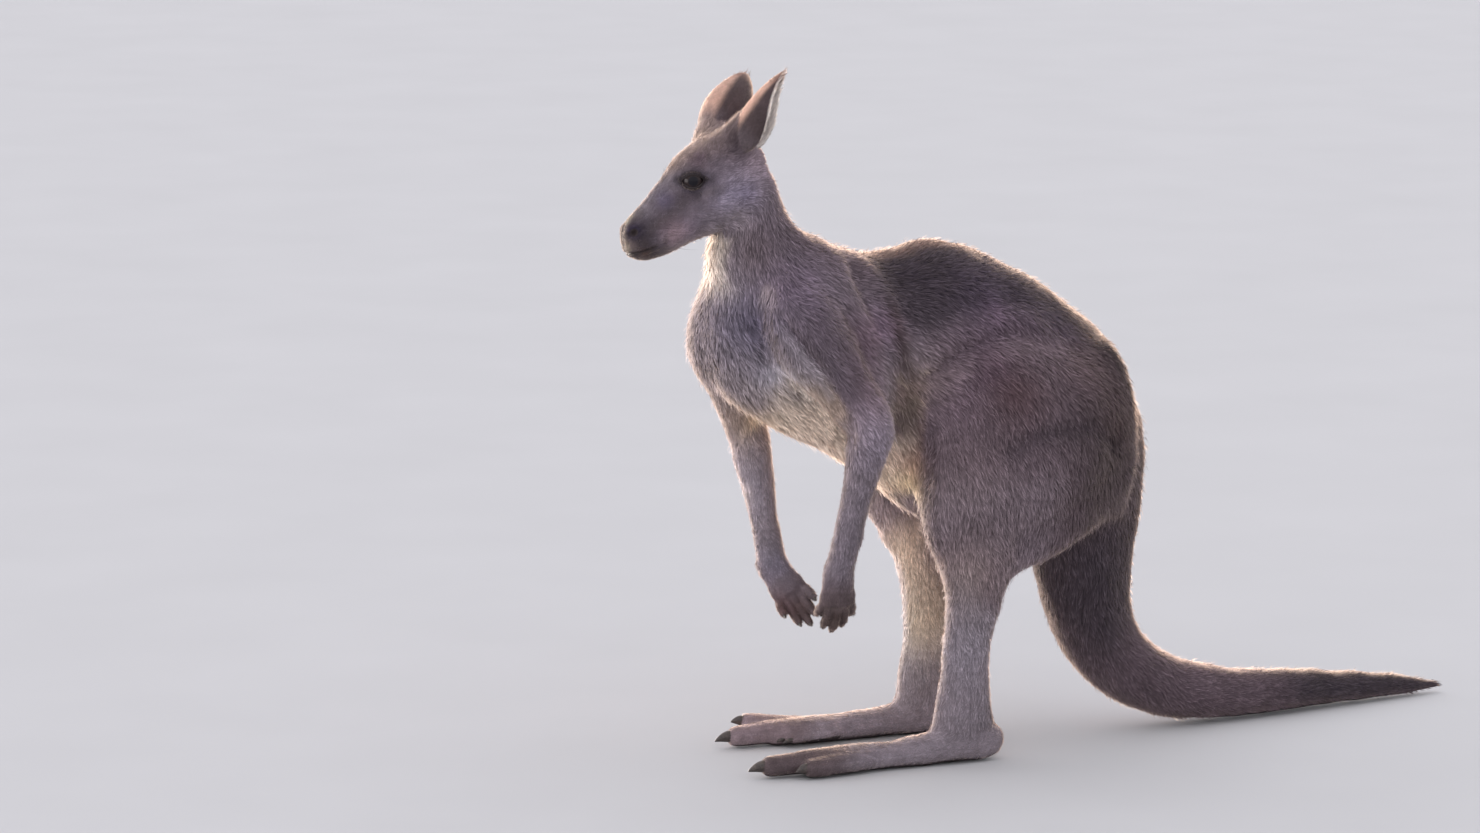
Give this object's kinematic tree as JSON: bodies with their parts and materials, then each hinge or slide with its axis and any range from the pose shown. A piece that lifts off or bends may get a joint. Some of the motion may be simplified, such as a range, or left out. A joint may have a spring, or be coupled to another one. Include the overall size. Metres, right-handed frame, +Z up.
{
  "type": "standing grey kangaroo figure",
  "caption": "Life-size still model of a grey kangaroo standing upright on its hind feet, tail on the floor, arms hanging, head turned to its front.",
  "frame": {"origin": "on the floor, under the middle of the whole object's box", "axes": "+Z up; the animal faces -Y and its tail lies along +Y; +X is the animal's left side"},
  "size_m": [0.3852, 1.3902, 1.0389],
  "materials": {
    "coat_grey": "short soft grey-brown fur",
    "coat_pale": "soft pale grey fur",
    "coat_dark": "dense dark brown fur",
    "ear_brown": "very short brown fur",
    "paw_brown": "very short dark brown fur",
    "eye": "wet dark brown",
    "claw": "dark satin horn"
  },
  "bodies": {
    "root": {"abdomen": "coat_dark", "chest": "coat_pale", "claw_finger_fifth_left": "claw", "claw_finger_fifth_right": "claw", "claw_finger_first_left": "claw", "claw_finger_first_right": "claw", "claw_finger_fourth_left": "claw", "claw_finger_fourth_right": "claw", "claw_finger_second_left": "claw", "claw_finger_second_right": "claw", "claw_finger_third_left": "claw", "claw_finger_third_right": "claw", "claw_toe_fifth_left": "claw", "claw_toe_fifth_right": "claw", "claw_toe_fourth_left": "claw", "claw_toe_fourth_right": "claw", "claw_toe_second_left": "claw", "claw_toe_second_right": "claw", "claw_toe_third_left": "claw", "claw_toe_third_right": "claw", "ear_left": "ear_brown", "ear_right": "ear_brown", "eye_left": "eye", "eye_right": "eye", "foot_left": "paw_brown", "foot_right": "paw_brown", "forearm_left": "coat_grey", "forearm_right": "coat_grey", "hand_left": "paw_brown", "hand_right": "paw_brown", "head": "coat_grey", "muzzle": "coat_grey", "neck": "coat_grey", "rump": "coat_dark", "shank_left": "coat_pale", "shank_right": "coat_pale", "tail_bend": "coat_dark", "tail_middle": "coat_dark", "tail_root": "coat_dark", "tail_tip": "coat_dark", "thigh_left": "coat_grey", "thigh_right": "coat_grey", "upper_arm_left": "coat_grey", "upper_arm_right": "coat_grey"}
  },
  "joints": []
}
